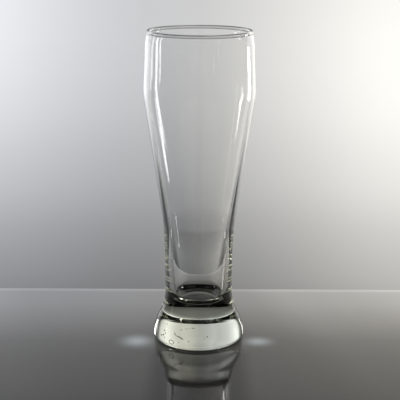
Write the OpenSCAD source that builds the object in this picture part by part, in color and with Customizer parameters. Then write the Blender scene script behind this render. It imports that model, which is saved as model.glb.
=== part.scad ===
// Tall waisted beer glass, blown in one piece over a solid foot.
// Its wall is one closed outline of [radius, height] points, turned about the Z axis.
// The outline runs along the underside, up the outside, over the lip and down the inside.

/* [Overall] */
// Height of the glass over its lip
glass_h = 235; // [215:1:255]

/* [Foot] */
// Radius of the foot at its widest ring
foot_r = 34.5; // [33:0.1:37]
// Height of the widest ring above the table
foot_belly_h = 5.5; // [5:0.5:8]
// Radius of the bulging flank, seen in section
flank_curve_r = 24; // [21:1:32]
// Radius of the heel, where the flank turns under
heel_curve_r = 5; // [1:0.5:5.5]
// Inner radius of the flat ring that the glass rests on
rest_inner_r = 23; // [18:0.5:27]
// Depth of the hollow in the underside
punt_depth = 2; // [1:0.5:5]
// Radius of the hollow between foot and stem, seen in section
notch_curve_r = 44; // [30:1:60]

/* [Stem] */
// Radius of the waist
waist_r = 25.4; // [23.5:0.1:26.5]
// Height of the waist
waist_h = 50; // [44:1:58]
// Radius of the waist's long hollow curve, seen in section
waist_curve_r = 640; // [450:10:900]

/* [Bowl] */
// Outer radius where the bowl starts to widen
bowl_root_r = 26.9; // [26:0.1:28]
// Height where the bowl starts to widen
bowl_root_h = 93; // [85:1:100]
// Radius of the bend at the bowl's root
root_curve_r = 60; // [20:5:100]
// Outer radius of the shoulder, before it is rounded
shoulder_r = 41.65; // [38.5:0.05:44]
// Distance from the shoulder up to the lip
shoulder_drop = 45; // [35:1:60]
// Radius of the bend at the shoulder
shoulder_curve_r = 50; // [20:5:80]

/* [Brim] */
// Outer radius where the brim starts to close in
brim_r = 39.95; // [39:0.05:41]
// Distance from that place up to the lip
brim_drop = 9; // [7:0.5:12]
// Radius of the bend between shoulder and lip
brim_curve_r = 20; // [8:1:24]
// Outer radius of the lip
lip_r = 38.7; // [37:0.1:40]
// Thickness of the lip's round bead
lip_t = 2.6; // [2:0.1:3.2]
// Radius of the hollows between the bead and the wall
bead_hollow_r = 1; // [0.5:0.1:2]

/* [Wall] */
// Wall thickness below the lip
brim_wall = 1.5; // [1.2:0.1:1.8]
// Wall thickness at the shoulder
shoulder_wall = 2; // [1.6:0.1:3]
// Wall thickness at the bowl's root
root_wall = 3; // [2.4:0.1:4.4]
// Wall thickness of the stem beside the cavity's floor
stem_wall = 8; // [5:0.5:10]
// Thickness of the solid glass below the cavity
base_t = 30.5; // [28:0.5:38]
// Radius of the cavity's bottom corner
cavity_corner_r = 9; // [3:0.5:12]

/* [Hidden] */
glass_colour = [0.86, 0.91, 0.87, 0.45];
// Greatest distance between a curve and the short lines that draw it
curve_tolerance = 0.008;
turning_facets = 180;
// Greatest share of a straight wall that the rounding of one end may take up
fillet_share = 0.45;

// Centres of the foot's curves and of the waist's long curve
flank_centre = [foot_r - flank_curve_r, foot_belly_h];
heel_offset_z = foot_belly_h - heel_curve_r;
heel_reach = sqrt(pow(flank_curve_r - heel_curve_r, 2) - pow(heel_offset_z, 2));
heel_centre = [flank_centre.x + heel_reach, heel_curve_r];
waist_centre = [waist_r + waist_curve_r, waist_h];
notch_centre = meet_circles(
    flank_centre, flank_curve_r + notch_curve_r, waist_centre, waist_curve_r - notch_curve_r);

// Corners of the bowl's outside and inside, before they are rounded
bowl_root = [bowl_root_r, bowl_root_h];
shoulder = [shoulder_r, glass_h - shoulder_drop];
brim = [brim_r, glass_h - brim_drop];
lip_centre = [lip_r - lip_t / 2, glass_h - lip_t / 2];
neck_outside = lip_centre + [brim_wall / 2, 0];
neck_inside = lip_centre - [brim_wall / 2, 0];
brim_inside = brim - [brim_wall, 0];
shoulder_inside = shoulder - [shoulder_wall, 0];
root_inside = bowl_root - [root_wall, 0];
cavity_corner = [waist_r - stem_wall, base_t];
cavity_floor = [0, base_t];
cavity_far_corner = [-cavity_corner.x, base_t];

// Direction from one point to another, from 0 to 360 degrees
function heading(from, to) = (atan2(to.y - from.y, to.x - from.x) + 360) % 360;

// The same direction, from -180 to 180 degrees
function bearing(from, to) = atan2(to.y - from.y, to.x - from.x);

// Point of a circle at an angle
function on_circle(centre, radius, angle) = centre + radius * [cos(angle), sin(angle)];

// Points of an arc with both its ends, as many as the tolerance asks for
function arc(centre, radius, start, end) =
    let (
        step = 2 * acos(1 - curve_tolerance / radius),
        count = max(2, ceil(abs(end - start) / step))
    )
    [for (i = [0:count]) on_circle(centre, radius, start + (end - start) * i / count)];

// Point at one distance from a and another from b, to the right of the way from a to b
function meet_circles(a, a_dist, b, b_dist) =
    let (
        gap = norm(b - a),
        ahead = (b - a) / gap,
        along = (gap * gap + a_dist * a_dist - b_dist * b_dist) / (2 * gap),
        aside = sqrt(a_dist * a_dist - along * along)
    )
    a + along * ahead + aside * [-ahead.y, ahead.x];

// Point to the right of the line from p to q, at a distance from the line and from a centre
function meet_line(p, q, line_dist, centre, centre_dist) =
    let (
        ahead = (q - p) / norm(q - p),
        start = p + line_dist * [ahead.y, -ahead.x],
        along = (centre - start) * ahead,
        aside = norm(centre - start - along * ahead)
    )
    start + (along - sqrt(centre_dist * centre_dist - aside * aside)) * ahead;

// Arc that rounds corner b of the path from a over b to c
function rounded(a, b, c, radius) =
    let (
        back = (a - b) / norm(a - b),
        ahead = (c - b) / norm(c - b),
        half = acos(back * ahead) / 2,
        room = fillet_share * min(norm(a - b), norm(c - b)) * tan(half),
        bend_r = min(radius, room),
        centre = b + (back + ahead) / norm(back + ahead) * bend_r / sin(half),
        start = heading(centre, b + back * bend_r / tan(half)),
        left = cross(b - a, c - b) > 0 ? 1 : -1
    )
    arc(centre, bend_r, start, start + left * (180 - 2 * half));

// Shallow hollow of the underside, from the axis out to the resting ring
function punt_line() =
    let (
        radius = (rest_inner_r * rest_inner_r + punt_depth * punt_depth) / (2 * punt_depth),
        centre = [0, punt_depth - radius]
    )
    arc(centre, radius, 90, heading(centre, [rest_inner_r, 0]));

// Heel, bulging flank and groove of the foot
function foot_line() =
    let (
        flank_start = -asin(heel_offset_z / (flank_curve_r - heel_curve_r)),
        flank_end = heading(flank_centre, notch_centre)
    )
    concat(
        arc(heel_centre, heel_curve_r, -90, flank_start),
        arc(flank_centre, flank_curve_r, flank_start, flank_end),
        arc(notch_centre, notch_curve_r, flank_end + 180, heading(waist_centre, notch_centre))
    );

// Waist, and the bend where the bowl starts
function stem_line() =
    let (
        bend_centre = meet_line(
            bowl_root, shoulder, root_curve_r, waist_centre, waist_curve_r - root_curve_r),
        bend_start = heading(waist_centre, bend_centre),
        bend_end = heading(bowl_root, shoulder) + 90
    )
    concat(
        arc(waist_centre, waist_curve_r, heading(waist_centre, notch_centre), bend_start),
        arc(bend_centre, root_curve_r, bend_start, bend_end)
    );

// Shoulder, brim and lip, and the inside of the brim
function bowl_line() =
    let (
        bead_r = lip_t / 2,
        outer = meet_line(brim, neck_outside, bead_hollow_r, lip_centre, bead_r + bead_hollow_r),
        inner = meet_line(brim_inside, neck_inside, -bead_hollow_r, lip_centre, bead_r + bead_hollow_r)
    )
    concat(
        rounded(bowl_root, shoulder, brim, shoulder_curve_r),
        rounded(shoulder, brim, neck_outside, brim_curve_r),
        arc(outer, bead_hollow_r, heading(brim, neck_outside) + 90, heading(outer, lip_centre)),
        arc(lip_centre, bead_r, bearing(lip_centre, outer), heading(lip_centre, inner)),
        arc(inner, bead_hollow_r, bearing(inner, lip_centre), heading(neck_inside, brim_inside) - 180 - 90),
        rounded(neck_inside, brim_inside, shoulder_inside, brim_curve_r)
    );

// Inside of the wall, down to the middle of the cavity's floor
function cavity_line() = concat(
    rounded(brim_inside, shoulder_inside, root_inside, shoulder_curve_r),
    rounded(shoulder_inside, root_inside, cavity_corner, root_curve_r),
    rounded(root_inside, cavity_corner, cavity_far_corner, cavity_corner_r),
    [cavity_floor]
);

module glass() {
    color(glass_colour)
        rotate_extrude($fn = turning_facets)
            polygon(concat(punt_line(), foot_line(), stem_line(), bowl_line(), cavity_line()));
}

glass();
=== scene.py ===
"""Looks of a tall waisted beer glass: its fine mesh, its clear finish, table and light.

The glass is one revolved wall over a solid foot. Its section is drawn here from the same
arcs and lines as the solid, in millimetres, turned about the Z axis on a fine grid, and put
in place of the plain solid. A few small seeds lie in its foot. Everything in the scene is in
metres, +Z up, with the glass standing on the origin.
"""

import logging
import math
from dataclasses import dataclass, field
from enum import Enum

import bpy
import numpy as np
from mathutils import Matrix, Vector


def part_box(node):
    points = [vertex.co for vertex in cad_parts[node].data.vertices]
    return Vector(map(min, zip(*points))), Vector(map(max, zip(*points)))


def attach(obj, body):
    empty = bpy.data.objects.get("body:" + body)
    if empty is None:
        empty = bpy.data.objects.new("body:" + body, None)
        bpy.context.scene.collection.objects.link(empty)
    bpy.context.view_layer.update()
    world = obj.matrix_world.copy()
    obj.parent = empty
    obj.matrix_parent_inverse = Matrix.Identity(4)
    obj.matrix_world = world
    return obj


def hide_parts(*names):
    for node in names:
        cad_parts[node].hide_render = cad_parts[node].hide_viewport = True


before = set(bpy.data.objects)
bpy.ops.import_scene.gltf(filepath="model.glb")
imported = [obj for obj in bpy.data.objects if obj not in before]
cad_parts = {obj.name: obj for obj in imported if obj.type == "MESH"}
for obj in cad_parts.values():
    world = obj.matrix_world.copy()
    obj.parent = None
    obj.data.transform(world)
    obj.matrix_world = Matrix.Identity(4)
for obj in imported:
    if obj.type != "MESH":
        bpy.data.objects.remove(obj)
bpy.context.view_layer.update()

BODY = "root"
MM = 0.001
QUARTER_TURN, HALF_TURN, FULL_TURN = 0.5 * math.pi, math.pi, 2.0 * math.pi
ARC_STEP_DEGREES = 5.0
SAME_PLACE = 1e-6
UP = np.array([0.0, 0.0, 1.0])
WHITE = (1.0, 1.0, 1.0, 1.0)
GLASS_BOUNCES = 32
MIRROR_BOUNCES = 16

log = logging.getLogger("beer_glass")

Points = np.ndarray
Socket = bpy.types.NodeSocket
Colour = tuple[float, float, float]


class Ray(Enum):
    """Kinds of light path that see the drawn backdrop, named as the Light Path node does."""

    CAMERA = "Is Camera Ray"
    GLOSSY = "Is Glossy Ray"
    TRANSMISSION = "Is Transmission Ray"


class Side(Enum):
    """Sides of the outline on which a rounding circle can lie."""

    RIGHT = 1.0
    LEFT = -1.0


def heading(start: Points, end: Points) -> float:
    """Gives the direction from one point to another.

    Args:
        start: point in the section, as radius and height.
        end: another such point.

    Returns:
        The angle in radians, from 0 to a full turn.
    """
    step = end - start
    return math.atan2(step[1], step[0]) % FULL_TURN


def unit(vector: Points) -> Points:
    """Gives a vector's direction, with a length of one."""
    return vector / np.linalg.norm(vector)


def arc(centre: Points, radius: float, start: float, end: float, step: float) -> Points:
    """Gives the points centre + radius * (cos t, sin t) for t from start to end.

    Args:
        centre: the arc's centre.
        radius: its radius.
        start: angle of its first point, in radians.
        end: angle of its last point.
        step: greatest length between two points.

    Returns:
        The points as rows. An arc is also cut at least once every five degrees.
    """
    turn = abs(end - start)
    by_angle = math.ceil(math.degrees(turn) / ARC_STEP_DEGREES)
    count = max(2, math.ceil(turn * radius / step), by_angle)
    t = np.linspace(start, end, count + 1)
    return centre + radius * np.stack([np.cos(t), np.sin(t)], axis=1)


def meet_circles(a: Points, a_dist: float, b: Points, b_dist: float) -> Points:
    """Gives the point at one distance from a and another from b, left of the way from a to b.

    With g the gap, it lies (g^2 + a_dist^2 - b_dist^2) / 2g ahead of a, and as far aside as
    the circle round a then asks.

    Args:
        a: middle of the first circle.
        a_dist: its radius.
        b: middle of the second circle.
        b_dist: its radius.

    Returns:
        The point.
    """
    gap = float(np.linalg.norm(b - a))
    ahead = (b - a) / gap
    along = (gap**2 + a_dist**2 - b_dist**2) / (2.0 * gap)
    aside = math.sqrt(a_dist**2 - along**2)
    return a + along * ahead + aside * np.array([-ahead[1], ahead[0]])


def meet_line(
    p: Points, q: Points, radius: float, side: Side, centre: Points, reach: float
) -> Points:
    """Gives the centre of a circle that touches a line and stands off another circle.

    Args:
        p: start of the line.
        q: a point further along it.
        radius: the circle's distance from the line.
        side: the side of the line that it lies on.
        centre: middle of the other circle.
        reach: distance from that middle.

    Returns:
        Of the two such points, the one that comes first along the line.
    """
    ahead = unit(q - p)
    start = p + side.value * radius * np.array([ahead[1], -ahead[0]])
    along = float((centre - start) @ ahead)
    aside = float(np.linalg.norm(centre - start - along * ahead))
    return start + (along - math.sqrt(reach**2 - aside**2)) * ahead


def rounded(a: Points, b: Points, c: Points, radius: float, step: float) -> Points:
    """Gives the arc that rounds a corner.

    Args:
        a: where the path comes from.
        b: its corner.
        c: where it goes.
        radius: the arc's radius.
        step: greatest length between two points.

    Returns:
        The arc's points as rows.
    """
    back, ahead = unit(a - b), unit(c - b)
    half = math.acos(float(back @ ahead)) / 2.0
    centre = b + unit(back + ahead) * radius / math.sin(half)
    start = heading(centre, b + back * radius / math.tan(half))
    into, out_of = b - a, c - b
    left = 1.0 if into[0] * out_of[1] - into[1] * out_of[0] > 0.0 else -1.0
    return arc(centre, radius, start, start + left * (HALF_TURN - 2.0 * half), step)


def straight(a: Points, b: Points, step: float) -> Points:
    """Gives the points of a straight line, without its ends.

    Args:
        a: start of the line.
        b: its end.
        step: greatest length between two points.

    Returns:
        The points as rows.
    """
    count = max(1, math.ceil(float(np.linalg.norm(b - a)) / step))
    t = np.linspace(0.0, 1.0, count + 1)[1:-1, None]
    return a + t * (b - a)


def joined(stretches: list[Points], step: float) -> Points:
    """Joins stretches of an outline, with points along the straight lines between them.

    Args:
        stretches: the stretches in order, each as rows of points.
        step: greatest length between two points of those lines.

    Returns:
        All the points as rows, with no place twice in a row.
    """
    rows = [stretches[0]]
    for stretch in stretches[1:]:
        rows.append(straight(rows[-1][-1], stretch[0], step))
        rows.append(stretch)
    line = np.vstack(rows)
    apart = np.linalg.norm(np.diff(line, axis=0), axis=1) > SAME_PLACE
    return line[np.concatenate([[True], apart])]


def closed_mesh(name: str, rings: Points) -> bpy.types.Mesh:
    """Makes a closed mesh from rings of points, with a pole at each end.

    Args:
        name: the mesh's name.
        rings: array of ring, place round the ring, and coordinate. All the points of the
            first and last ring are the same, and each becomes one pole.

    Returns:
        The mesh, smooth all over, facing outwards where the rings run anticlockwise seen
        from +Z and the outline has the solid on its left.
    """
    count, around = rings.shape[0] - 2, rings.shape[1]
    points = np.vstack([rings[1:-1].reshape(-1, 3), rings[0, :1], rings[-1, :1]])
    first_pole, last_pole = count * around, count * around + 1
    here = np.arange(around)
    after = (here + 1) % around
    row = (np.arange(count - 1) * around)[:, None]
    above = row + around
    quads = np.stack([row + here, row + after, above + after, above + here], axis=2)
    last = (count - 1) * around
    caps = [
        np.stack([np.full(around, first_pole), after, here], axis=1),
        np.stack([last + here, last + after, np.full(around, last_pole)], axis=1),
    ]
    mesh = bpy.data.meshes.new(name)
    faces = quads.reshape(-1, 4).tolist() + np.vstack(caps).tolist()
    mesh.from_pydata(points.tolist(), [], faces)
    mesh.shade_smooth()
    mesh.validate()
    return mesh


def piece(name: str, mesh: bpy.types.Mesh, material: bpy.types.Material) -> bpy.types.Object:
    """Makes an object at the origin from a mesh and a material.

    Args:
        name: the object's name.
        mesh: its mesh, already in place.
        material: its finish.

    Returns:
        The object, in the scene.
    """
    mesh.materials.append(material)
    thing = bpy.data.objects.new(name, mesh)
    bpy.context.scene.collection.objects.link(thing)
    return thing


class Graph:
    """A material's or world's nodes, with short calls that add and link them."""

    def __init__(self, tree: bpy.types.NodeTree) -> None:
        """Keeps the tree that the nodes go into."""
        self.tree = tree

    def node(self, kind: str, **settings: object) -> bpy.types.Node:
        """Adds a node.

        Args:
            kind: the node's type name.
            settings: its properties and their values.

        Returns:
            The new node.
        """
        made = self.tree.nodes.new(kind)
        for name, value in settings.items():
            setattr(made, name, value)
        return made

    def link(self, start: Socket, end: Socket) -> None:
        """Links an output to an input."""
        self.tree.links.new(start, end)

    def feed(self, socket: Socket, value: Socket | float | Colour) -> None:
        """Sets an input, or links another node's output to it.

        Args:
            socket: the input.
            value: a number, three numbers or an output.
        """
        if isinstance(value, (int, float, tuple)):
            socket.default_value = value
        else:
            self.link(value, socket)

    def math(self, operation: str, *values: Socket | float) -> Socket:
        """Adds a Math node.

        Args:
            operation: what it works out.
            values: its inputs in order.

        Returns:
            Its result.
        """
        made = self.node("ShaderNodeMath", operation=operation)
        for socket, value in zip(made.inputs, values):
            self.feed(socket, value)
        return made.outputs["Value"]

    def vector(self, operation: str, *values: Socket | Colour) -> Socket:
        """Adds a Vector Math node whose result is a vector.

        Args:
            operation: what it works out.
            values: its inputs in order.

        Returns:
            Its result.
        """
        made = self.node("ShaderNodeVectorMath", operation=operation)
        for socket, value in zip(made.inputs, values):
            self.feed(socket, value)
        return made.outputs["Vector"]

    def scaled(self, value: Socket, factor: Socket) -> Socket:
        """Multiplies a vector by a number.

        Args:
            value: the vector, or a colour.
            factor: the number.

        Returns:
            The product.
        """
        made = self.node("ShaderNodeVectorMath", operation="SCALE")
        self.link(value, made.inputs["Vector"])
        self.link(factor, made.inputs["Scale"])
        return made.outputs["Vector"]

    def length(self, value: Socket) -> Socket:
        """Works out a vector's length.

        Args:
            value: the vector.

        Returns:
            The length.
        """
        made = self.node("ShaderNodeVectorMath", operation="LENGTH")
        self.link(value, made.inputs["Vector"])
        return made.outputs["Value"]

    def apart(self, value: Socket) -> tuple[Socket, Socket, Socket]:
        """Takes a vector apart.

        Args:
            value: the vector.

        Returns:
            Its three numbers.
        """
        made = self.node("ShaderNodeSeparateXYZ")
        self.link(value, made.inputs["Vector"])
        return tuple(made.outputs)

    def kept(self, value: Socket, low: float, high: float) -> Socket:
        """Keeps a number between two others."""
        return self.math("MINIMUM", self.math("MAXIMUM", value, low), high)

    def blend(self, share: Socket, first: Socket | Colour, second: Socket | Colour) -> Socket:
        """Mixes two colours.

        Args:
            share: how much of the second one there is.
            first: the colour where the share is 0.
            second: the colour where it is 1.

        Returns:
            The mixed colour.
        """
        made = self.node("ShaderNodeMix", data_type="VECTOR")
        ends = {socket.identifier: socket for socket in (*made.inputs, *made.outputs)}
        self.link(share, ends["Factor_Float"])
        self.feed(ends["A_Vector"], first)
        self.feed(ends["B_Vector"], second)
        return ends["Result_Vector"]

    def step(self, value: Socket, low: float, high: float) -> Socket:
        """Makes a smooth step, which may run upwards or downwards.

        Args:
            value: the number that it follows.
            low: the value at which it is 0, and stays so on the other side.
            high: the value at which it is 1, and stays so on the other side.

        Returns:
            The step's height, from 0 to 1.
        """
        made = self.node("ShaderNodeMapRange", interpolation_type="SMOOTHSTEP")
        for name, number in (("Value", value), ("From Min", low), ("From Max", high)):
            self.feed(made.inputs[name], number)
        return made.outputs["Result"]

    def ramp(self, value: Socket, stops: dict[float, Colour]) -> Socket:
        """Gives a colour that follows the value from stop to stop.

        Args:
            value: the number that is looked up.
            stops: colour at each value, in rising order.

        Returns:
            The colour.
        """
        places = list(stops)
        low, high = places[0], places[-1]
        made = self.node("ShaderNodeValToRGB")
        marks = made.color_ramp.elements
        while len(marks) < len(stops):
            marks.new(1.0)
        for mark, place in zip(marks, places):
            mark.position = (place - low) / (high - low)
            mark.color = (*stops[place], 1.0)
        share = self.math("DIVIDE", self.math("SUBTRACT", value, low), high - low)
        self.link(share, made.inputs["Fac"])
        return made.outputs["Color"]


def reflected(graph: Graph) -> Socket:
    """Gives 1 for light that has been reflected on its way, and 0 for light that went through."""
    path = graph.node("ShaderNodeLightPath")
    return graph.math("MINIMUM", path.outputs["Glossy Depth"], 1.0)


def grey(level: float) -> Colour:
    """Gives a plain grey of one level."""
    return (level, level, level)


def tinted(level: float, warmth: float, red: float, blue: float) -> Colour:
    """Tints a grey level warm or cool.

    Args:
        level: the grey level.
        warmth: 1 for warm, 0 for plain and -1 for cool.
        red: share of the red that is added at a warmth of 1.
        blue: share of the blue that is taken away there.

    Returns:
        The colour.
    """
    return (level * (1.0 + red * warmth), level, level * (1.0 - blue * warmth))


def principled(name: str, roughness: float) -> tuple[bpy.types.Material, Graph, bpy.types.Node]:
    """Makes a material with the usual shader.

    Args:
        name: the material's name.
        roughness: how far its reflections spread.

    Returns:
        The material, its nodes and the shader.
    """
    made = bpy.data.materials.new(name)
    made.use_nodes = True
    shader = made.node_tree.nodes["Principled BSDF"]
    shader.inputs["Roughness"].default_value = roughness
    return made, Graph(made.node_tree), shader


@dataclass(frozen=True)
class ClearGlass:
    """Clear soda glass with a faint yellow-green tint where it is thick.

    Attributes:
        name: the material's name.
        refraction: index of refraction.
        tint: colour that the light keeps as it passes.
        tint_density: how fast it loses the rest: over x metres each part of the colour falls to
            e^(-tint_density * (1 - tint) * x).
        wave_size: width of the surface's faint waves, in metres.
        wave_height: height of those waves, in metres.
        wave_detail: how many finer layers of waves lie over them.
    """

    name: str
    refraction: float = 1.52
    tint: Colour = (0.6, 0.75, 0.0)
    tint_density: float = 2.6
    wave_size: float = 0.018
    wave_height: float = 0.000012
    wave_detail: float = 1.5

    def material(self) -> bpy.types.Material:
        """Makes the material, with its waves on Object coordinates.

        Returns:
            The material.
        """
        made, graph, shader = principled(self.name, roughness=0.0)
        shader.inputs["Base Color"].default_value = WHITE
        shader.inputs["Transmission Weight"].default_value = 1.0
        shader.inputs["IOR"].default_value = self.refraction
        waves = graph.node("ShaderNodeTexNoise", noise_dimensions="3D")
        graph.link(graph.node("ShaderNodeTexCoord").outputs["Object"], waves.inputs["Vector"])
        waves.inputs["Scale"].default_value = 1.0 / self.wave_size
        waves.inputs["Detail"].default_value = self.wave_detail
        bump = graph.node("ShaderNodeBump")
        graph.link(waves.outputs[0], bump.inputs["Height"])
        bump.inputs["Distance"].default_value = self.wave_height
        graph.link(bump.outputs["Normal"], shader.inputs["Normal"])
        inside = graph.node("ShaderNodeVolumeAbsorption")
        inside.inputs["Color"].default_value = (*self.tint, 1.0)
        inside.inputs["Density"].default_value = self.tint_density
        output = made.node_tree.nodes["Material Output"]
        graph.link(inside.outputs["Volume"], output.inputs["Volume"])
        return made


@dataclass(frozen=True)
class SeedShade:
    """Dull grey of the seeds in the foot, which look dark against bright glass.

    Attributes:
        name: the material's name.
        colour: its colour.
        spread: its roughness.
    """

    name: str
    colour: Colour = (0.13, 0.135, 0.11)
    spread: float = 0.45

    def material(self) -> bpy.types.Material:
        """Makes the plain material.

        Returns:
            The material.
        """
        made, _, shader = principled(self.name, self.spread)
        shader.inputs["Base Color"].default_value = (*self.colour, 1.0)
        return made


@dataclass(frozen=True)
class PaintedShade:
    """A stretch of the table in front of the glass or behind it with painted shade.

    Attributes:
        aside: distances to either side of the glass's axis between which it fades in, in metres.
        behind: distances behind the axis between which it fades in.
        depth: share of the grey that the painted shade takes away.
    """

    aside: tuple[float, float]
    behind: tuple[float, float]
    depth: float

    def left(self, graph: Graph, x: Socket, y: Socket) -> Socket:
        """Adds nodes for the grey that the painted shade leaves.

        Args:
            graph: the material's nodes.
            x: place to the right, in metres.
            y: place towards the back.

        Returns:
            The share of the grey that is left.
        """
        share = graph.step(graph.math("ABSOLUTE", x), *self.aside)
        share = graph.math("MULTIPLY", share, graph.step(y, *self.behind))
        return graph.math("MULTIPLY_ADD", share, -self.depth, 1.0)


@dataclass(frozen=True)
class PaintedSpot:
    """A pool of light that the glass gathers, painted on the table.

    Attributes:
        x: its place to the right of the glass's axis, in metres.
        y: its place behind the axis.
        wide: half its width.
        deep: half its depth.
        level: its brightness in the middle.
    """

    x: float
    y: float
    wide: float
    deep: float
    level: float

    def light(self, graph: Graph, place: Socket) -> Socket:
        """Adds nodes for the painted brightness, which is the square of a smooth step.

        Args:
            graph: the material's nodes.
            place: Object coordinates.

        Returns:
            The brightness.
        """
        off = graph.vector("SUBTRACT", place, (self.x, self.y, 0.0))
        off = graph.vector("DIVIDE", off, (self.wide, self.deep, 1.0))
        share = graph.step(graph.length(off), 1.0, 0.0)
        return graph.math("MULTIPLY", graph.math("MULTIPLY", share, share), self.level)


@dataclass(frozen=True)
class SatinTable:
    """A grey table top with painted light and shade, darkest in front of the glass, with a soft
    sheen.

    Attributes:
        levels: grey level of the painted light at each distance behind the glass, in metres.
        gains: gain of the painted light to the right, in metres, along lines slanted by slant.
        slant: how far those lines lean, as a share of the distance behind the glass.
        warm_far: distance behind the glass up to which it is warm.
        warm_rise: the length over which it grows fully warm towards the front.
        side_warmth: how warm it is on the right, and how cool on the left.
        side_width: the width over which that comes in, on each side.
        tint: red gained and blue lost where it is warm.
        shade_r: radii between which the painted shadow under the glass fades out, in metres.
        shade_left: share of the grey that the painted shadow leaves under the glass.
        shades: the stretches of painted shade in front of the glass and behind it.
        spots: the pools of light that the glass gathers, painted on the table.
        spot_colour: colour of those painted pools of light.
        sheen_spread: roughness of its reflections.
        grain: how much the grey varies from place to place.
        grain_scale: how many of those variations there are in a metre.
    """

    levels: tuple[tuple[float, float], ...] = (
        (-0.5, 0.24), (-0.3, 0.17), (-0.19, 0.06), (-0.15, 0.032), (-0.13, 0.036), (-0.1, 0.056),
        (-0.07, 0.071), (-0.04, 0.089), (-0.01, 0.121), (0.03, 0.218), (0.07, 0.307), (0.1, 0.339),
        (0.103, 0.43), (0.108, 0.44),
    )
    gains: tuple[tuple[float, float], ...] = (
        (-0.2, 1.1), (-0.16, 1.05), (-0.12, 0.88), (-0.08, 0.855), (-0.04, 0.92), (0.04, 0.92),
        (0.07, 0.99), (0.1, 1.235), (0.13, 1.275), (0.16, 1.36), (0.2, 1.6),
    )
    slant: float = 0.3
    warm_far: float = 0.104
    warm_rise: float = 0.17
    side_warmth: float = 0.7
    side_width: float = 0.08
    tint: tuple[float, float] = (0.035, 0.08)
    shade_r: tuple[float, float] = (0.024, 0.037)
    shade_left: float = 0.03
    # painted shade: darker stretches of the table in front of the glass and behind it
    shades: tuple[PaintedShade, ...] = (
        PaintedShade(aside=(0.042, 0.026), behind=(-0.02, -0.04), depth=0.72),
        PaintedShade(aside=(0.03, 0.014), behind=(0.034, 0.042), depth=0.32),
    )
    spots: tuple[PaintedSpot, ...] = (
        PaintedSpot(x=-0.0465, y=-0.012, wide=0.024, deep=0.023, level=0.36),
        PaintedSpot(x=0.045, y=-0.012, wide=0.021, deep=0.017, level=0.34),
    )
    spot_colour: Colour = (0.84, 0.95, 1.0)
    sheen_spread: float = 0.06
    grain: float = 0.05
    grain_scale: float = 9.0

    def material(self) -> bpy.types.Material:
        """Makes the material on Object coordinates.

        Returns:
            The material.
        """
        made, graph, shader = principled("satin_table", self.sheen_spread)
        place = graph.node("ShaderNodeTexCoord").outputs["Object"]
        x, y, _ = graph.apart(place)
        colour = graph.scaled(self.painted(graph, x, y), self.painted_shade_and_grain(graph, place, x, y))
        # painted light: pools of light added to the table's grey beside the glass's foot
        painted_glow: Socket | float = 0.0
        for spot in self.spots:
            painted_glow = graph.math("ADD", spot.light(graph, place), painted_glow)
        colour = graph.vector("MULTIPLY_ADD", painted_glow, self.spot_colour, colour)
        graph.link(colour, shader.inputs["Base Color"])
        return made

    def painted(self, graph: Graph, x: Socket, y: Socket) -> Socket:
        """Adds nodes for the grey of painted light: level towards the back, times gain to the
        right.

        Args:
            graph: the material's nodes.
            x: place to the right, in metres.
            y: place towards the back.

        Returns:
            The colour.
        """
        # painted light: darker towards the front and paler to the right, with a bright far edge
        levels = {}
        for far, level in self.levels:
            warmth = min(1.0, (self.warm_far - far) / self.warm_rise)
            levels[far] = tinted(level, warmth, *self.tint)
        gains = {}
        for right, gain in self.gains:
            warmth = self.side_warmth * math.tanh(right / self.side_width)
            gains[right] = tinted(gain, warmth, *self.tint)
        slanted = graph.math("MULTIPLY_ADD", y, self.slant, x)
        return graph.vector("MULTIPLY", graph.ramp(y, levels), graph.ramp(slanted, gains))

    def painted_shade_and_grain(self, graph: Graph, place: Socket, x: Socket, y: Socket) -> Socket:
        """Adds nodes for the shade painted under and near the glass, with a faint grain.

        Args:
            graph: the material's nodes.
            place: Object coordinates.
            x: place to the right, in metres.
            y: place towards the back.

        Returns:
            The share of the grey that is left.
        """
        cloud = graph.node("ShaderNodeTexNoise")
        graph.link(place, cloud.inputs["Vector"])
        cloud.inputs["Scale"].default_value = self.grain_scale
        left = graph.math("MULTIPLY_ADD", cloud.outputs[0], self.grain, 1.0 - self.grain / 2.0)
        # painted shadow: the table's grey is darkened under the glass
        outside = graph.step(graph.length(place), *self.shade_r)
        under = graph.math("MULTIPLY_ADD", outside, 1.0 - self.shade_left, self.shade_left)
        for share in (under, *(shade.left(graph, x, y) for shade in self.shades)):
            left = graph.math("MULTIPLY", left, share)
        return left


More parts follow.
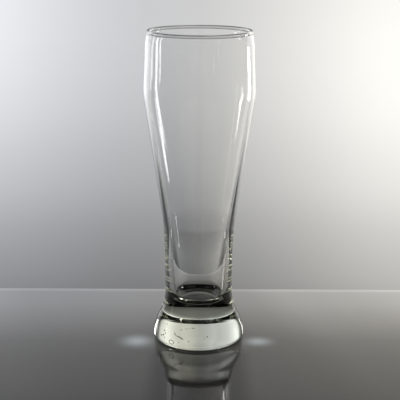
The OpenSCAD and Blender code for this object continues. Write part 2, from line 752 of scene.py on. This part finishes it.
@dataclass
class BeerGlass:
    """The glass. Its sizes are in millimetres, and its height comes from the frame.

    The outline runs from the middle of the underside along the foot, up the outside, over
    the lip and down the inside to the middle of the cavity's floor.

    Attributes:
        foot_r: radius of the foot at its widest ring.
        foot_belly_h: height of that ring.
        flank_curve_r: radius of the foot's bulging flank, seen in section.
        heel_curve_r: radius of the heel below it.
        rest_inner_r: inner radius of the flat resting ring.
        punt_depth: depth of the hollow in the underside.
        notch_curve_r: radius of the hollow between foot and stem, seen in section.
        waist_r: radius of the waist.
        waist_h: height of the waist.
        waist_curve_r: radius of its long hollow curve, seen in section.
        bowl_root_r: outer radius where the bowl starts to widen.
        bowl_root_h: height of that place.
        root_curve_r: radius of the bend there.
        shoulder_r: outer radius of the shoulder, before it is rounded.
        shoulder_drop: distance from the shoulder up to the lip.
        shoulder_curve_r: radius of the bend there.
        brim_r: outer radius where the brim starts to close in.
        brim_drop: distance from that place up to the lip.
        brim_curve_r: radius of the bend there.
        lip_r: outer radius of the lip.
        lip_t: thickness of its round bead.
        bead_hollow_r: radius of the hollows between the bead and the wall.
        brim_wall: thickness of the wall below the lip.
        shoulder_wall: its thickness at the shoulder.
        root_wall: its thickness at the bowl's root.
        stem_wall: its thickness beside the cavity's floor.
        base_t: thickness of the solid glass below the cavity.
        cavity_corner_r: radius of the cavity's bottom corner.
        step: greatest distance between two points of the outline.
        around: places round the axis.
        ripple_h: height of the ripples low down inside.
        ripple_span: heights between which they lie.
        ripples: share of that height, turns of the wave in radians for each millimetre of
            height, and waves round the axis, of each ripple.
        height: height of the glass over its lip.
    """

    foot_r: float = 34.5
    foot_belly_h: float = 5.5
    flank_curve_r: float = 24.0
    heel_curve_r: float = 5.0
    rest_inner_r: float = 23.0
    punt_depth: float = 2.0
    notch_curve_r: float = 44.0
    waist_r: float = 25.4
    waist_h: float = 50.0
    waist_curve_r: float = 640.0
    bowl_root_r: float = 26.9
    bowl_root_h: float = 93.0
    root_curve_r: float = 60.0
    shoulder_r: float = 41.65
    shoulder_drop: float = 45.0
    shoulder_curve_r: float = 50.0
    brim_r: float = 39.95
    brim_drop: float = 9.0
    brim_curve_r: float = 20.0
    lip_r: float = 38.7
    lip_t: float = 2.6
    bead_hollow_r: float = 1.0
    brim_wall: float = 1.5
    shoulder_wall: float = 2.0
    root_wall: float = 3.0
    stem_wall: float = 8.0
    base_t: float = 30.5
    cavity_corner_r: float = 9.0
    step: float = 1.9
    around: int = 240
    ripple_h: float = 0.035
    ripple_span: tuple[float, float] = (36.0, 100.0)
    ripples: tuple[tuple[float, float, float], ...] = ((0.6, 0.95, 2.0), (0.4, 1.7, -3.0))
    height: float = field(default_factory=lambda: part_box("glass")[1][2] / MM)

    def outline(self) -> Points:
        """Draws the section.

        Returns:
            Its points, as radius and height in millimetres.
        """
        step = self.step
        flank = np.array([self.foot_r - self.flank_curve_r, self.foot_belly_h])
        rise = self.foot_belly_h - self.heel_curve_r
        reach = math.sqrt((self.flank_curve_r - self.heel_curve_r) ** 2 - rise**2)
        heel = np.array([flank[0] + reach, self.heel_curve_r])
        waist = np.array([self.waist_r + self.waist_curve_r, self.waist_h])
        notch_r = self.notch_curve_r
        notch = meet_circles(
            flank, self.flank_curve_r + notch_r, waist, self.waist_curve_r - notch_r
        )
        root = np.array([self.bowl_root_r, self.bowl_root_h])
        shoulder = np.array([self.shoulder_r, self.height - self.shoulder_drop])
        brim = np.array([self.brim_r, self.height - self.brim_drop])
        lip = np.array([self.lip_r, self.height]) - self.lip_t / 2.0
        neck_out = lip + np.array([self.brim_wall / 2.0, 0.0])
        neck_in = lip - np.array([self.brim_wall / 2.0, 0.0])
        brim_in = brim - np.array([self.brim_wall, 0.0])
        shoulder_in = shoulder - np.array([self.shoulder_wall, 0.0])
        root_in = root - np.array([self.root_wall, 0.0])
        corner = np.array([self.waist_r - self.stem_wall, self.base_t])
        floor = np.array([0.0, self.base_t])
        punt_r = (self.rest_inner_r**2 + self.punt_depth**2) / (2.0 * self.punt_depth)
        punt = np.array([0.0, self.punt_depth - punt_r])
        bend_r = self.root_curve_r
        bend = meet_line(root, shoulder, bend_r, Side.RIGHT, waist, self.waist_curve_r - bend_r)
        bead_r, hollow_r = self.lip_t / 2.0, self.bead_hollow_r
        outer = meet_line(brim, neck_out, hollow_r, Side.RIGHT, lip, bead_r + hollow_r)
        inner = meet_line(brim_in, neck_in, hollow_r, Side.LEFT, lip, bead_r + hollow_r)
        punt_end = heading(punt, np.array([self.rest_inner_r, 0.0]))
        flank_start = -math.asin(rise / (self.flank_curve_r - self.heel_curve_r))
        flank_end = heading(flank, notch)
        bend_end = heading(root, shoulder) + QUARTER_TURN
        outer_start = heading(brim, neck_out) + QUARTER_TURN
        inner_end = heading(neck_in, brim_in) - 3.0 * QUARTER_TURN
        stretches = [
            arc(punt, punt_r, QUARTER_TURN, punt_end, step),
            arc(heel, self.heel_curve_r, -QUARTER_TURN, flank_start, step),
            arc(flank, self.flank_curve_r, flank_start, flank_end, step),
            arc(notch, notch_r, flank_end + HALF_TURN, heading(waist, notch), step),
            arc(waist, self.waist_curve_r, heading(waist, notch), heading(waist, bend), step),
            arc(bend, bend_r, heading(waist, bend), bend_end, step),
            rounded(root, shoulder, brim, self.shoulder_curve_r, step),
            rounded(shoulder, brim, neck_out, self.brim_curve_r, step),
            arc(outer, hollow_r, outer_start, heading(outer, lip), step),
            arc(lip, bead_r, heading(lip, outer) - FULL_TURN, heading(lip, inner), step),
            arc(inner, hollow_r, heading(inner, lip), inner_end, step),
            rounded(neck_in, brim_in, shoulder_in, self.brim_curve_r, step),
            rounded(brim_in, shoulder_in, root_in, self.shoulder_curve_r, step),
            rounded(shoulder_in, root_in, corner, self.root_curve_r, step),
            rounded(root_in, corner, floor, self.cavity_corner_r, step),
            floor[None, :],
        ]
        return joined(stretches, step)

    def surface(self) -> Points:
        """Turns the outline about the axis.

        A point is (r cos a, r sin a, z). Low down inside, r gains ripples like those that a
        blown wall keeps: ripple_h * w * sum(share * sin(rate * z + count * a)). The weight w is
        cos^4 a times the square root of sin(pi t), where t rises from 0 to 1 between the two
        heights of ripple_span, so the ripples are highest on the glass's left and right.

        Returns:
            Rings of points in metres.
        """
        line = self.outline()
        top = int(np.argmax(line[:, 1]))
        angle = np.linspace(0.0, FULL_TURN, self.around, endpoint=False)
        r, z = line[:, :1], line[:, 1:]
        inside = (np.arange(len(line)) > top)[:, None]
        low, high = self.ripple_span
        t = np.clip((z - low) / (high - low), 0.0, 1.0)
        window = np.where(inside, np.sqrt(np.sin(HALF_TURN * t)), 0.0) * np.cos(angle) ** 4
        wave = sum(share * np.sin(rate * z + count * angle) for share, rate, count in self.ripples)
        r = r + self.ripple_h * window * wave
        z = np.broadcast_to(z, r.shape)
        return np.stack([r * np.cos(angle), r * np.sin(angle), z], axis=2) * MM

    def build(self, finish: ClearGlass) -> bpy.types.Object:
        """Makes the glass and puts it in the solid's place.

        Args:
            finish: the glass's finish.

        Returns:
            The piece.
        """
        glass = piece("beer_glass", closed_mesh("beer_glass", self.surface()), finish.material())
        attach(glass, BODY)
        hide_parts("glass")
        return glass


@dataclass
class FootSeeds:
    """Small seeds and one round bubble just under the skin of the foot's flank.

    Attributes:
        glass: the glass, whose flank they follow.
        seeds: azimuth from the front in degrees, + to the right, height, half length and half
            width in millimetres, and tilt in degrees of each seed.
        bubble: the same of the bubble's rim, which is a ring.
        rim: half the thickness of that rim.
        flatness: a seed's half thickness.
        inset: how deep under the skin they lie.
        grid: faces from pole to pole and around each seed.
        ring_grid: faces along the bubble's rim and around it.
    """

    glass: BeerGlass
    seeds: tuple[tuple[float, float, float, float, float], ...] = (
        (-32.4, 12.9, 0.3, 0.8, 20.0),
        (-31.4, 11.9, 0.35, 0.6, 35.0),
        (-28.4, 11.2, 0.8, 0.3, -30.0),
        (-25.6, 10.9, 0.9, 0.45, -15.0),
        (-22.6, 10.3, 0.9, 0.5, -20.0),
        (-20.4, 9.6, 0.5, 0.35, -40.0),
        (-23.7, 16.1, 1.1, 0.2, 18.0),
        (-17.3, 17.1, 0.8, 0.18, 6.0),
        (-12.6, 17.5, 0.6, 0.14, 0.0),
        (-7.3, 18.0, 1.2, 0.24, -8.0),
        (11.0, 12.0, 0.6, 0.38, 30.0),
        (7.6, 10.8, 0.3, 0.2, 0.0),
        (-12.4, 8.4, 0.7, 0.28, 0.0),
        (-25.6, 6.6, 0.4, 0.3, 0.0),
        (-50.0, 12.5, 0.5, 0.8, 25.0),
        (-47.6, 10.9, 0.5, 0.6, -20.0),
        (-50.5, 9.2, 0.6, 0.8, -30.0),
        (-48.4, 7.4, 0.4, 0.6, 15.0),
        (-54.5, 8.2, 0.8, 0.6, 0.0),
        (-49.5, 17.4, 0.5, 0.4, 0.0),
    )
    bubble: tuple[float, float, float, float, float] = (-36.4, 5.6, 2.1, 1.55, 0.0)
    rim: float = 0.24
    flatness: float = 0.15
    inset: float = 0.5
    grid: tuple[int, int] = (6, 12)
    ring_grid: tuple[int, int] = (48, 8)

    def frames(self, rows: Points) -> tuple[Points, Points, Points, Points]:
        """Finds where each row's seed lies and how it is turned.

        The flank is an arc turned about the axis, so a place on it is its centre's radius
        plus the arc's radius along the normal.

        Args:
            rows: azimuth, height, half length, half width and tilt of each.

        Returns:
            Centres, and the directions along, across and out of the flank.
        """
        arc_r = self.glass.flank_curve_r
        side = np.radians(rows[:, 0])
        tilt = np.radians(rows[:, 4])[:, None]
        rise = np.arcsin((rows[:, 1] - self.glass.foot_belly_h) / arc_r)
        level = np.stack([np.sin(side), -np.cos(side), np.zeros_like(side)], axis=1)
        out = np.cos(rise)[:, None] * level + np.sin(rise)[:, None] * UP
        along = np.stack([np.cos(side), np.sin(side), np.zeros_like(side)], axis=1)
        across = np.cross(out, along)
        centre = (self.glass.foot_r - arc_r) * level + (arc_r - self.inset) * out
        centre = centre + self.glass.foot_belly_h * UP
        turned = np.cos(tilt) * along + np.sin(tilt) * across
        return centre, turned, np.cross(out, turned), out

    def beads(self) -> tuple[Points, Points]:
        """Makes the seeds as flat ellipsoids.

        With a, b and c its half length, half width and half thickness, s from pole to pole and
        t around, a point is the centre + a sin s cos t along + b sin s sin t across
        + c cos s out.

        Returns:
            Points in millimetres, and faces of four. A face at a pole names its last corner
            twice.
        """
        rows = np.array(self.seeds)
        centre, along, across, out = (part[:, None, None, :] for part in self.frames(rows))
        steps, around = self.grid
        s = np.linspace(0.0, HALF_TURN, steps + 1)[1:-1, None, None]
        t = np.linspace(0.0, FULL_TURN, around, endpoint=False)[None, :, None]
        a, b = rows[:, 2, None, None, None], rows[:, 3, None, None, None]
        rings = centre + a * np.sin(s) * np.cos(t) * along + b * np.sin(s) * np.sin(t) * across
        rings = rings + self.flatness * np.cos(s) * out
        rise = self.flatness * out
        poles = np.stack([(centre + rise)[:, 0, 0], (centre - rise)[:, 0, 0]], axis=1)
        points = np.concatenate([rings.reshape(len(rows), -1, 3), poles], axis=1)
        here = np.arange(around)
        after = (here + 1) % around
        row = (np.arange(steps - 2) * around)[:, None]
        below = row + around
        quads = np.stack([row + here, below + here, below + after, row + after], axis=2)
        last = (steps - 2) * around
        top, bottom = (np.full(around, (steps - 1) * around + pole) for pole in (0, 1))
        caps = [
            np.stack([top, here, after, after], axis=1),
            np.stack([last + here, bottom, last + after, last + after], axis=1),
        ]
        faces = np.vstack([quads.reshape(-1, 4), *caps])
        offset = (np.arange(len(rows)) * points.shape[1])[:, None, None]
        return points.reshape(-1, 3), (faces + offset).reshape(-1, 4)

    def ring(self) -> tuple[Points, Points]:
        """Makes the bubble's rim as a tube round a circle.

        With a and b the circle's half length and half width, e the tube's radius, t round the
        circle and s round the tube, a point is the centre + (a + e cos s) cos t along
        + (b + e cos s) sin t across + e sin s out.

        Returns:
            Points in millimetres, and faces of four.
        """
        rows = np.array([self.bubble])
        centre, along, across, out = (part[0] for part in self.frames(rows))
        many, few = self.ring_grid
        t = np.linspace(0.0, FULL_TURN, many, endpoint=False)[:, None, None]
        s = np.linspace(0.0, FULL_TURN, few, endpoint=False)[None, :, None]
        wide, high = (half + self.rim * np.cos(s) for half in self.bubble[2:4])
        points = centre + wide * np.cos(t) * along + high * np.sin(t) * across
        points = points + self.rim * np.sin(s) * out
        row = (np.arange(many) * few)[:, None]
        row_after = np.roll(row, -1, axis=0)
        here = np.arange(few)
        after = (here + 1) % few
        quads = np.stack([row + here, row_after + here, row_after + after, row + after], axis=2)
        return points.reshape(-1, 3), quads.reshape(-1, 4)

    def build(self, finish: SeedShade) -> bpy.types.Object:
        """Makes them all as one piece.

        Args:
            finish: their finish.

        Returns:
            The piece.
        """
        points, faces = self.beads()
        ring_points, ring_faces = self.ring()
        faces = np.vstack([faces, ring_faces + len(points)]).tolist()
        points = np.vstack([points, ring_points]) * MM
        mesh = bpy.data.meshes.new("foot_seeds")
        mesh.from_pydata(points.tolist(), [], [list(dict.fromkeys(face)) for face in faces])
        mesh.shade_smooth()
        mesh.validate()
        seeds = piece("foot_seeds", mesh, finish.material())
        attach(seeds, BODY)
        return seeds


@dataclass
class PhotoCamera:
    """The camera, a little above the lip's height and tilted down.

    Attributes:
        distance: how far in front of the glass's axis it stands, in metres.
        height: its height over the table.
        aside: its place to the right of the axis.
        tilt: how far it looks down, in degrees.
        roll: how far it is turned about its own view, in degrees.
        frame_px: width of the picture in pixels.
        focal_px: focal length in such pixels.
        sensor: width of its sensor in millimetres.
    """

    distance: float = 0.7744
    height: float = 0.3123
    aside: float = 0.0007
    tilt: float = 14.75
    roll: float = 0.26
    frame_px: float = 400.0
    focal_px: float = 1068.9
    sensor: float = 36.0

    def build(self) -> bpy.types.Object:
        """Makes the camera and makes it the scene's own.

        Returns:
            The camera.
        """
        lens = bpy.data.cameras.new("photo_camera")
        lens.sensor_width = self.sensor
        lens.lens = self.sensor * self.focal_px / self.frame_px
        camera = bpy.data.objects.new("photo_camera", lens)
        turn = Matrix.Rotation(math.radians(90.0 - self.tilt), 4, "X")
        turn = turn @ Matrix.Rotation(math.radians(self.roll), 4, "Z")
        camera.matrix_world = Matrix.Translation((self.aside, -self.distance, self.height)) @ turn
        bpy.context.scene.collection.objects.link(camera)
        bpy.context.scene.camera = camera
        return camera


@dataclass(frozen=True)
class Strip:
    """A soft light on the backdrop or beside it, as the glass sees it.

    Attributes:
        near: azimuth of its first edge, in degrees from straight behind, + to the right.
        far: azimuth of its other edge, as a rule the one further from the middle.
        low: elevation of its lower edge.
        high: elevation of its upper edge.
        level: its brightness.
        soft: half the width over which its edges fade, in degrees.
        lean: how far it turns away from the backdrop for each degree below lean_from.
        lean_from: the elevation at which it starts to lean, in degrees.
    """

    near: float
    far: float
    low: float
    high: float
    level: float
    soft: float = 1.0
    lean: float = 0.0
    lean_from: float = -21.0

    def light(self, graph: Graph, azimuth: Socket, elevation: Socket) -> Socket:
        """Adds nodes that give the strip's brightness in every direction.

        Args:
            graph: the world's nodes.
            azimuth: direction round the glass, in degrees.
            elevation: direction above the horizon, in degrees.

        Returns:
            The brightness.
        """
        left, right = sorted((self.near, self.far))
        soft = self.soft
        if self.lean:
            below = graph.math("MAXIMUM", graph.math("SUBTRACT", self.lean_from, elevation), 0.0)
            shift = math.copysign(self.lean, -self.near)
            azimuth = graph.math("MULTIPLY_ADD", below, shift, azimuth)
        edges = [
            graph.step(azimuth, left - soft, left + soft),
            graph.step(azimuth, right + soft, right - soft),
            graph.step(elevation, self.low - soft, self.low + soft),
            graph.step(elevation, self.high + soft, self.high - soft),
        ]
        share = edges[0]
        for edge in edges[1:]:
            share = graph.math("MULTIPLY", share, edge)
        return graph.math("MULTIPLY", share, self.level)


@dataclass(frozen=True)
class Panel:
    """An upright lit panel near the glass, which only the glass shows.

    Attributes:
        near: azimuth of its first edge, in degrees from straight behind, + to the right.
        far: azimuth of its other edge, the one further from the middle.
        low: height of its lower edge over the table, in metres.
        high: height of its upper edge.
        distance: how far it stands from the glass's axis.
        level: its brightness.
    """

    near: float
    far: float
    low: float
    high: float
    distance: float
    level: float

    def build(self) -> bpy.types.Object:
        """Makes the panel as one upright face across the way to the glass's axis.

        Returns:
            The panel.
        """
        middle = math.radians((self.near + self.far) / 2.0)
        half = self.distance * math.tan(math.radians(abs(self.far - self.near)) / 2.0)
        centre = self.distance * np.array([math.sin(middle), math.cos(middle), 0.0])
        aside = half * np.array([math.cos(middle), -math.sin(middle), 0.0])
        left, right, foot, head = centre - aside, centre + aside, self.low * UP, self.high * UP
        corners = np.array([left + foot, right + foot, right + head, left + head])
        mesh = bpy.data.meshes.new("panel")
        mesh.from_pydata(corners.tolist(), [], [(0, 1, 2, 3)])
        panel = piece("panel", mesh, self.material())
        panel.visible_camera = False
        panel.visible_diffuse = False
        panel.visible_shadow = False
        return panel

    def material(self) -> bpy.types.Material:
        """Makes a clear material that glows for reflected light alone.

        Returns:
            The material.
        """
        made = bpy.data.materials.new("lit_panel")
        made.use_nodes = True
        made.node_tree.nodes.clear()
        made.cycles.emission_sampling = "NONE"
        graph = Graph(made.node_tree)
        glow = graph.node("ShaderNodeEmission")
        graph.link(graph.math("MULTIPLY", reflected(graph), self.level), glow.inputs["Strength"])
        both = graph.node("ShaderNodeAddShader")
        graph.link(graph.node("ShaderNodeBsdfTransparent").outputs[0], both.inputs[0])
        graph.link(glow.outputs[0], both.inputs[1])
        graph.link(both.outputs[0], graph.node("ShaderNodeOutputMaterial").inputs["Surface"])
        return made


@dataclass
class Studio:
    """The table, the backdrop and the light.

    The backdrop's colour is a product: its level at an elevation, times its tint and gain at
    an azimuth. The strips are added to it. Beyond its sides lies a plain pale room, but light
    that the glass or the table has reflected shows the drawn backdrop and strips there. Only
    rays that see it directly, in a gloss or through glass meet any of this, and all other
    light is one plain level.

    Attributes:
        by_elevation: level at each elevation, in degrees, straight behind the glass.
        by_azimuth: gain at each azimuth, in degrees from straight behind, + to the right.
        by_azimuth_low: the same below the low edge.
        low_edge: elevations between which one gain gives way to the other.
        tint: red gained and blue lost on the right, and the reverse on the left.
        tint_width: azimuth over which that comes in, on each side.
        slant: how much the backdrop's left rises in brightness with height, and its right falls,
            for each degree of azimuth and elevation.
        slant_reach: azimuth up to which that grows.
        slant_span: elevations between which it changes.
        strips: the soft lights beside the backdrop.
        panels: the lit panels nearer the glass.
        room_level: brightness of the pale room round the backdrop, which reflections don't show.
        room_edge: azimuths between which the backdrop gives way to it, on both sides.
        plain_level: the light that falls on the table.
        table_half: half the table's width, in metres.
        table_near: distance of its near edge in front of the glass's axis.
        table_far: distance of its far edge behind the axis.
        table_gap: how far it lies below the glass's foot.
    """

    by_elevation: dict[float, float] = field(
        default_factory=lambda: {
            -60.0: 0.574, -30.0: 0.12, -24.0: 0.215, -20.0: 0.2, -18.5: 0.256, -17.5: 0.286,
            -16.0: 0.338, -14.0: 0.43, -12.0: 0.495, -10.0: 0.562, -8.0: 0.6, -6.0: 0.617,
            -4.0: 0.612, -1.0: 0.64, 2.0: 0.44, 6.0: 0.31, 10.0: 0.4, 14.0: 0.35, 20.0: 0.385,
            28.0: 0.409, 36.0: 0.351, 42.0: 0.02, 46.0: 0.004, 90.0: 0.004,
        }
    )
    by_azimuth: dict[float, float] = field(
        default_factory=lambda: {
            -180.0: 0.005, -52.0: 0.005, -48.0: 0.946, -30.0: 1.654, -16.0: 1.22, -11.0: 1.3,
            -9.0: 1.19, -7.0: 1.095, -5.0: 1.01, -3.0: 0.97, 0.0: 1.01, 3.0: 1.18, 5.0: 1.34,
            7.0: 1.515, 9.0: 1.69, 11.0: 1.79, 16.0: 1.724, 30.0: 1.551, 44.0: 0.745,
            49.0: 0.005, 180.0: 0.005,
        }
    )
    by_azimuth_low: dict[float, float] = field(
        default_factory=lambda: {
            -180.0: 0.5, -60.0: 0.236, -15.0: 0.554, -11.5: 1.3, -9.0: 1.19, -5.0: 1.01,
            -3.0: 0.97, 0.0: 1.01, 3.0: 1.18, 5.0: 1.34, 9.0: 1.69, 11.5: 1.79, 15.0: 0.642,
            60.0: 0.005, 180.0: 0.5,
        }
    )
    low_edge: tuple[float, float] = (-19.0, -16.0)
    tint: tuple[float, float] = (0.016, 0.048)
    tint_width: float = 6.0
    slant: float = 0.00135
    slant_reach: float = 11.0
    slant_span: tuple[float, float] = (-19.0, -4.0)
    strips: tuple[Strip, ...] = (
        Strip(near=-22.6, far=-49.6, low=-19.8, high=1.5, level=0.28),
        Strip(near=-35.4, far=-55.4, low=13.1, high=29.2, level=0.73, soft=9.0),
        Strip(near=-8.0, far=7.0, low=16.0, high=37.0, level=0.06, soft=4.0),
        Strip(near=-86.8, far=-88.6, low=-8.1, high=13.3, level=1.7),
        Strip(near=-77.4, far=-85.1, low=21.0, high=24.0, level=3.6, soft=5.0),
        Strip(near=-73.9, far=-78.4, low=-25.4, high=-14.9, level=3.9, lean=2.76),
        Strip(near=19.0, far=44.4, low=-20.2, high=7.4, level=0.26),
        Strip(near=22.4, far=49.4, low=0.4, high=29.3, level=0.52, soft=9.0),
        Strip(near=79.3, far=82.3, low=-22.5, high=-9.0, level=8.0, lean=0.3, lean_from=-9.0),
        Strip(near=56.3, far=62.7, low=22.4, high=24.9, level=2.97, soft=5.0),
    )
    panels: tuple[Panel, ...] = (
        Panel(near=-65.2, far=-71.0, low=0.139, high=0.317, distance=0.496, level=2.74),
        Panel(near=59.6, far=67.2, low=0.094, high=0.212, distance=0.354, level=7.43),
    )
    room_level: float = 0.54
    room_edge: tuple[float, float] = (32.0, 44.0)
    plain_level: float = 0.9
    table_half: float = 0.24
    table_near: float = 1.0
    table_far: float = 0.107
    table_gap: float = 0.00005

    def build_table(self, finish: SatinTable) -> bpy.types.Object:
        """Makes the table top as one flat face.

        Args:
            finish: its finish.

        Returns:
            The table.
        """
        right, near, far, low = self.table_half, -self.table_near, self.table_far, -self.table_gap
        corners = [(-right, near, low), (right, near, low), (right, far, low), (-right, far, low)]
        mesh = bpy.data.meshes.new("table")
        mesh.from_pydata(corners, [], [(0, 1, 2, 3)])
        table = piece("table", mesh, finish.material())
        return table

    def build_backdrop(self) -> bpy.types.World:
        """Makes the world: the backdrop with its strips, the pale room and the plain light.

        Returns:
            The world.
        """
        world = bpy.data.worlds.new("studio")
        world.use_nodes = True
        world.node_tree.nodes.clear()
        graph = Graph(world.node_tree)
        x, y, z = graph.apart(graph.node("ShaderNodeTexCoord").outputs["Generated"])
        elevation = graph.math("DEGREES", graph.math("ARCSINE", z))
        azimuth = graph.math("DEGREES", graph.math("ARCTAN2", x, y))
        painted = self.painted(graph, azimuth, elevation)
        whole = graph.vector("ADD", painted, self.lights(graph, azimuth, elevation))
        aside = graph.step(graph.math("ABSOLUTE", azimuth), *self.room_edge)
        unmirrored = graph.math("SUBTRACT", 1.0, reflected(graph))
        room_share = graph.math("MULTIPLY", aside, unmirrored)
        path = graph.node("ShaderNodeLightPath")
        seen: Socket | float = 0.0
        for ray in Ray:
            seen = graph.math("MAXIMUM", path.outputs[ray.value], seen)
        plain = graph.node("ShaderNodeBackground")
        plain.inputs["Color"].default_value = (*grey(self.plain_level), 1.0)
        backdrop = graph.node("ShaderNodeBackground")
        drawn = graph.blend(room_share, whole, grey(self.room_level))
        graph.link(drawn, backdrop.inputs["Color"])
        either = graph.node("ShaderNodeMixShader")
        for socket, part in zip(either.inputs, (seen, plain.outputs[0], backdrop.outputs[0])):
            graph.link(part, socket)
        graph.link(either.outputs[0], graph.node("ShaderNodeOutputWorld").inputs["Surface"])
        bpy.context.scene.world = world
        return world

    def painted(self, graph: Graph, azimuth: Socket, elevation: Socket) -> Socket:
        """Adds nodes for the backdrop itself.

        Its colour is the level at the elevation, times the gain at the azimuth, times
        1 - slant * azimuth * (elevation - the middle of slant_span), with azimuth and
        elevation kept within slant_reach and slant_span.

        Args:
            graph: the world's nodes.
            azimuth: direction round the glass, in degrees.
            elevation: direction above the horizon, in degrees.

        Returns:
            The colour.
        """
        levels = {place: grey(level) for place, level in self.by_elevation.items()}
        low, high = (
            graph.ramp(azimuth, {place: self.coloured(place, gain) for place, gain in row.items()})
            for row in (self.by_azimuth_low, self.by_azimuth)
        )
        gain = graph.blend(graph.step(elevation, *self.low_edge), low, high)
        across = graph.kept(azimuth, -self.slant_reach, self.slant_reach)
        middle = sum(self.slant_span) / 2.0
        rise = graph.math("SUBTRACT", graph.kept(elevation, *self.slant_span), middle)
        factor = graph.math("MULTIPLY_ADD", graph.math("MULTIPLY", across, rise), -self.slant, 1.0)
        return graph.scaled(graph.vector("MULTIPLY", graph.ramp(elevation, levels), gain), factor)

    def coloured(self, azimuth: float, gain: float) -> Colour:
        """Tints a gain cool on the left and faintly warm on the right."""
        return tinted(gain, math.tanh(azimuth / self.tint_width), *self.tint)

    def lights(self, graph: Graph, azimuth: Socket, elevation: Socket) -> Socket:
        """Adds nodes for all the strips.

        Those that start beyond the backdrop's sides show in reflections alone, so that they
        don't lie on the pale room.

        Args:
            graph: the world's nodes.
            azimuth: direction round the glass, in degrees.
            elevation: direction above the horizon, in degrees.

        Returns:
            Their brightness.
        """
        mirrored = reflected(graph)
        whole: Socket | float = 0.0
        for strip in self.strips:
            light = strip.light(graph, azimuth, elevation)
            if abs(strip.near) > self.room_edge[0]:
                light = graph.math("MULTIPLY", light, mirrored)
            whole = graph.math("ADD", light, whole)
        return whole


def settle_render() -> None:
    """Sets plain colours, and enough bounces for light to cross the whole glass."""
    scene = bpy.context.scene
    scene.view_settings.view_transform = "Standard"
    scene.cycles.max_bounces = GLASS_BOUNCES
    scene.cycles.transmission_bounces = GLASS_BOUNCES
    scene.cycles.glossy_bounces = MIRROR_BOUNCES


def main() -> None:
    """Builds the camera, the room, the glass and its seeds, and reports each piece."""
    logging.basicConfig(level=logging.INFO, format="%(name)s: %(message)s")
    settle_render()
    PhotoCamera().build()
    studio = Studio()
    studio.build_backdrop()
    for panel in studio.panels:
        panel.build()
    log.info("stage: %s", studio.build_table(SatinTable()).name)
    shape = BeerGlass()
    glass = shape.build(ClearGlass(name="clear_glass"))
    log.info("piece: %s, %d faces", glass.name, len(glass.data.polygons))
    seeds = FootSeeds(glass=shape).build(SeedShade(name="seed_shade"))
    log.info("piece: %s, %d faces", seeds.name, len(seeds.data.polygons))


if __name__ == "__main__":
    main()
